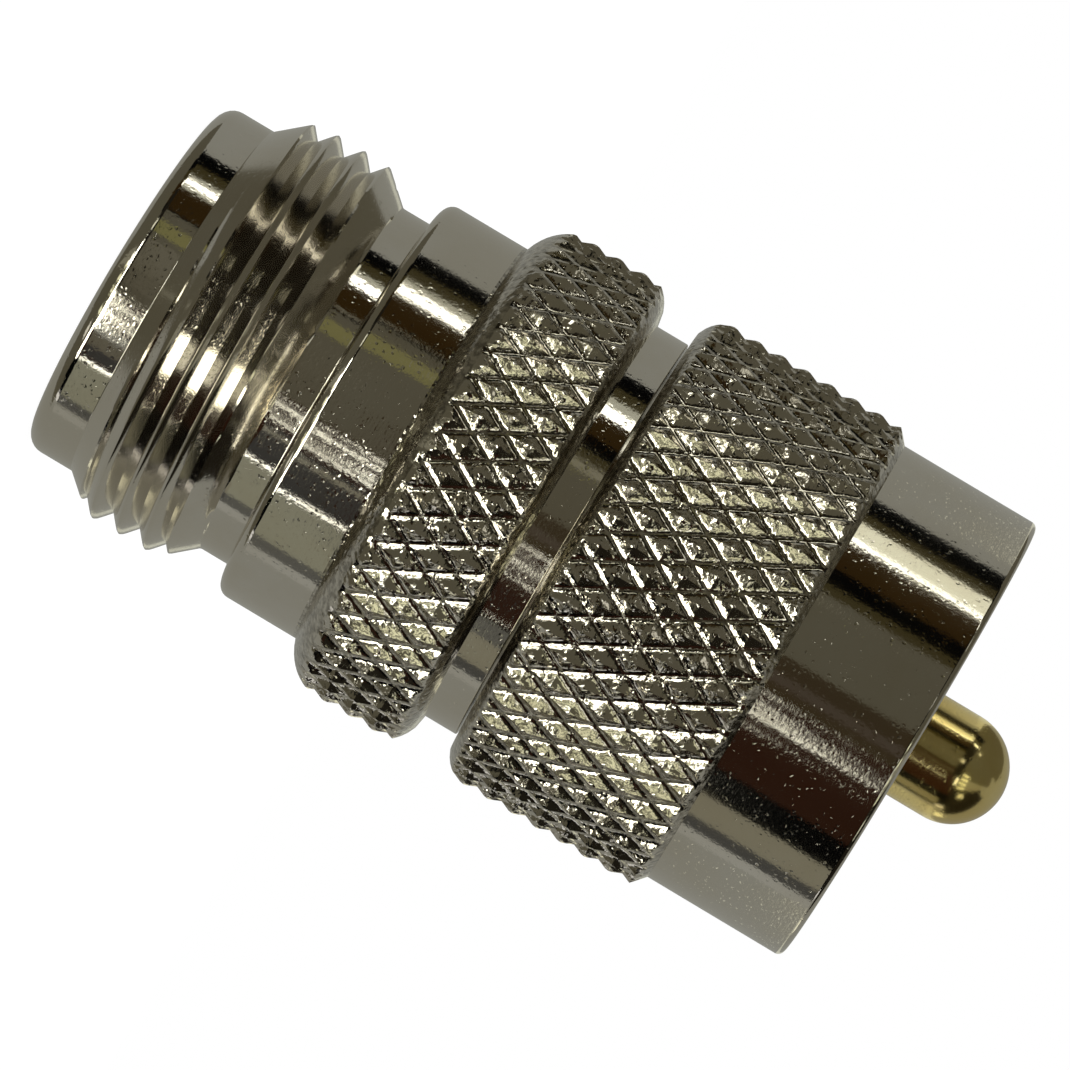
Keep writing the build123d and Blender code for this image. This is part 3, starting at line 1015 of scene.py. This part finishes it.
# Each card: its name, colour, distance in metres, left, right, low and high ends, and its lean if any
CARDS = [
    ("pale wall, left", PALE, 0.62, -180, -95, *TALL),
    ("black flag, tall", BLACK, 0.61, -95, -77, *TALL),
    ("dark olive wall", DARK_OLIVE, 0.62, -85, -63, *TALL),
    ("brown wall, left", BROWN, 0.61, -67, -50, *TALL),
    ("black gap, left", BLACK, 0.60, -51, -44, *TALL),
    ("olive wall", OLIVE_GREY, 0.61, -45, -3, *TALL),
    ("brown wall, middle", DARK_BROWN, 0.60, -4, 14, *TALL),
    ("red-brown wall", RED_BROWN, 0.61, 13, 57, *TALL),
    ("black gap, right", BLACK, 0.60, 56.5, 88, *TALL),
    ("pale wall, right", PALE, 0.61, 94, 180, *TALL),
    # Only the knurl mirrors these: the bench below and the ceiling above, with their lights
    ("bench", BENCH, 0.59, -68, 66, -88, -29),
    ("bench, left", OLIVE_GREY, 0.59, -88, -68, -88, -25),
    ("bench, middle", PALE_BENCH, 0.58, -19, -5, -88, -36),
    ("bench, right", BENCH, 0.585, 48, 79, -88, -29),
    ("bench, far right", BENCH, 0.59, 79, 104, -88, -22),
    ("dark bench, far left", OLIVE_GREY, 0.59, -135, -88, -75, -19),
    ("ceiling, left", OLIVE_GREY, 0.59, -64, -30, *ABOVE),
    ("ceiling, middle", BENCH, 0.59, -31, 9, *ABOVE),
    ("ceiling, low", OLIVE_GREY, 0.585, 8, 36, 24, 35),
    ("ceiling, high", PALE_BENCH, 0.59, 8, 37, 35, 75),
    ("dark ceiling, right", NEAR_BLACK, 0.59, 37, 112, 21, 75),
    ("high wall, left", OLIVE_GREY, 0.59, -91, -64, *ABOVE),
    ("dark wall, far left", OLIVE_GREY, 0.59, -142, -91, 9, 75),
    ("low light, middle", WHITE, 0.57, -13, -5, -37, -25),
    ("low light, right", DIM_WHITE, 0.57, 43, 53, -50, -37),
    ("strip, left", SOFT_WHITE, 0.57, -37, -30, -25, -17),
    ("lamp, left", DIM_WHITE, 0.57, -24, -17, 9.5, 16),
    ("high light, right", SOFT_WHITE, 0.57, 48, 60, 36, 45),
    ("high light, left", DIM_WHITE, 0.57, -61, -54, 30, 35),
    ("far light, right", SOFT_WHITE, 0.57, 112, 127, 11, 20),
    # The thread and the knurl's grooves mirror these: the softbox and the window, below and above
    ("shade, under", NEAR_BLACK, 0.595, -60.5, 13, -24, -9),
    ("shade, over", NEAR_BLACK, 0.595, -60.5, 13, 9, 24),
    ("softbox, under", WHITE, 0.56, -66.5, -63.5, -15, -9),
    ("softbox, over", WHITE, 0.56, -66.5, -63.5, 14, 23),
    ("window, lower left", WINDOW, 0.55, 13, 24, -24, -9.2),
    ("window, lower right", WINDOW, 0.55, 24, 36, -24, -8.8),
    ("window, upper part", DAYLIGHT, 0.55, 14, 30, 19.5, 24),
    ("window, foot", WINDOW, 0.555, 36, 60, -27, -18.5),
    ("window, left foot", WINDOW, 0.555, -6, 13, -25, -20),
    ("window, far foot", WINDOW, 0.555, -22, -6, -26.5, -21),
    ("floor under", BENCH, 0.62, -180, 180, -89.9, -74),
    ("ceiling above", PALE, 0.62, -180, 180, 74, 89.9),
    # The smooth parts mirror these, from left to right
    ("pale wall, smooth", PALE, 0.60, -104, -94.5, *SMOOTH, -0.45),
    ("black flag", BLACK, 0.59, -95.2, -84.2, *SMOOTH, -0.45),
    ("dark olive edge", DARK_OLIVE, 0.60, -85, -74, *SMOOTH, -0.45),
    ("softbox, upper part", SOFT_WHITE, 0.56, -79, -66.5, *HIGH),
    ("softbox, lower part", HALF_WHITE, 0.56, -77.0, -66, -9, 0.6, -0.6),
    ("softbox core, nose", WHITE, 0.55, -69.3, -65.0, *NOSE),
    ("softbox core, waist", WHITE, 0.55, -70.0, -63.7, *WAIST),
    ("softbox core, level", WHITE, 0.55, -70.4, -64.3, *LEVEL),
    ("softbox core, high", WHITE, 0.55, -69.2, -67.1, *HIGH),
    ("brown wall, low", BROWN, 0.58, -63, -45.5, -9, -2.5),
    ("black gap, high", BLACK, 0.58, -50.5, -42.8, -2.5, 9),
    ("olive shade, high", DARK_OLIVE, 0.58, -42.9, -38, -2.5, 9),
    ("pale line", TAN, 0.57, -47, -45.2, -5.4, -4.1),
    ("olive edge, low", OLIVE, 0.58, -37.5, -29, -9, -2.5),
    ("olive edge, level", TAN, 0.58, -36, -32, *LEVEL),
    ("olive wall, nose", PALE_OLIVE, 0.58, -25, 5, *NOSE),
    ("olive wall, waist", OLIVE_GREY, 0.58, -5, 13, -9, -2.5),
    ("purple wall, high", PURPLE_BROWN, 0.58, 4, 8.5, -2.5, 9),
    ("pale wall for the pin, left", BRIGHT_WALL, 0.6, -178, -97, 3.7, 9),
    ("pale wall for the pin, right", BRIGHT_WALL, 0.6, 97, 178, 3.7, 9),
    ("window edge, nose", PALE, 0.57, 33, 39, *NOSE),
    ("window edge, waist", TAN, 0.57, 34.5, 37, *WAIST),
    ("grey wall, nose", PALE_OLIVE, 0.58, 39, 47, *NOSE),
    ("slate wall, low", DARK_SLATE, 0.59, 32, 54, -9, -2.5),
    ("strip light", WHITE, 0.55, 53.1, 54.7, -9, -2.5, -0.42),
    ("tan wall, low", PALE_TAN, 0.58, 57.5, 87, -9, -2.5),
    ("slate gap, level", PALE_SLATE, 0.58, 58, 69, *LEVEL),
    ("tan wall, level", TAN, 0.58, 69, 87, *LEVEL),
    ("tan wall, high", TAN, 0.58, 72, 87, *HIGH),
    ("slate gap", SLATE, 0.58, 86.7, 94.5, *SMOOTH),
    ("slate gap, waist", PALE_SLATE, 0.57, 87, 94.2, *WAIST),
    ("pale edge, right", PALE_EDGE, 0.58, 94.5, 101, -5.6, 9),
    ("pale edge, nose", PALE_EDGE, 0.57, 96.5, 103, *NOSE),
]
for card in CARDS:
    make_card(*card)

# Two rows of small lamps, which the knurl's slopes mirror
SMALL_LAMP_WIDTH = 5
LOW_LAMPS = (-8, 2, 12, 26)
LOW_LAMP_ENDS = (-42, -28)
HIGH_LAMPS = (0, 10, 20, 31)
HIGH_LAMP_ENDS = (28, 42)
for left in LOW_LAMPS:
    make_card("small lamp, low", YELLOW_WHITE, 0.575, left, left + SMALL_LAMP_WIDTH, *LOW_LAMP_ENDS)
for left in HIGH_LAMPS:
    make_card("small lamp, high", YELLOW_WHITE, 0.575, left, left + SMALL_LAMP_WIDTH, *HIGH_LAMP_ENDS)

# The window, seen through leaves: gaps strewn between a first and a last (left, low) corner
GAP_COUNT = 15
GAP_WIDTH = 1.6
GAP_HEIGHT = 1.8
FIRST_GAP = (14, -9)
LAST_GAP = (31, 1.2)
leaves = np.random.default_rng(7)
for left, low in leaves.uniform(FIRST_GAP, LAST_GAP, (GAP_COUNT, 2)).tolist():
    make_card("sky between leaves", DAYLIGHT, 0.56, left, left + GAP_WIDTH, low, low + GAP_HEIGHT)


def make_lamp():
    """One large soft lamp above, for the plastic, and for the shadow on the floor."""
    data = bpy.data.lights.new("soft lamp", "AREA")
    data.shape = "DISK"
    data.size = LAMP_WIDTH
    data.energy = LAMP_POWER
    lamp = placed("soft lamp", data)
    lamp.location = LAMP_PLACE
    aim = CARD_CENTRE - lamp.location
    lamp.rotation_euler = aim.to_track_quat("-Z", "Y").to_euler()
    lamp.visible_glossy = False


make_lamp()


# Camera: nearly level, and turned about its own line of sight, so that the upright adapter lies at a slant
CAMERA_DISTANCE = 0.254
CAMERA_HEIGHT = 0.0234
AIM = Vector((0.00052, 0, 0.0168))
SLANT = math.radians(30.85)
LENS = 247.0
SENSOR_WIDTH = 36.0
NEAREST = 0.01
FARTHEST = 10.0


def make_camera():
    data = bpy.data.cameras.new("camera")
    data.sensor_width = SENSOR_WIDTH
    data.lens = LENS
    data.clip_start = NEAREST
    data.clip_end = FARTHEST
    camera = placed("camera", data)
    camera.location = (0, -CAMERA_DISTANCE, CAMERA_HEIGHT)
    back = (camera.location - AIM).normalized()
    axis = (Vector((0, 0, 1)) - back * back.z).normalized()
    beside = axis.cross(back)
    right = math.cos(SLANT) * axis - math.sin(SLANT) * beside
    up = -math.sin(SLANT) * axis - math.cos(SLANT) * beside
    camera.rotation_euler = Matrix((right, up, back)).transposed().to_euler()
    bpy.context.scene.camera = camera


make_camera()
bpy.context.scene.view_settings.view_transform = "Standard"

low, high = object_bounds()
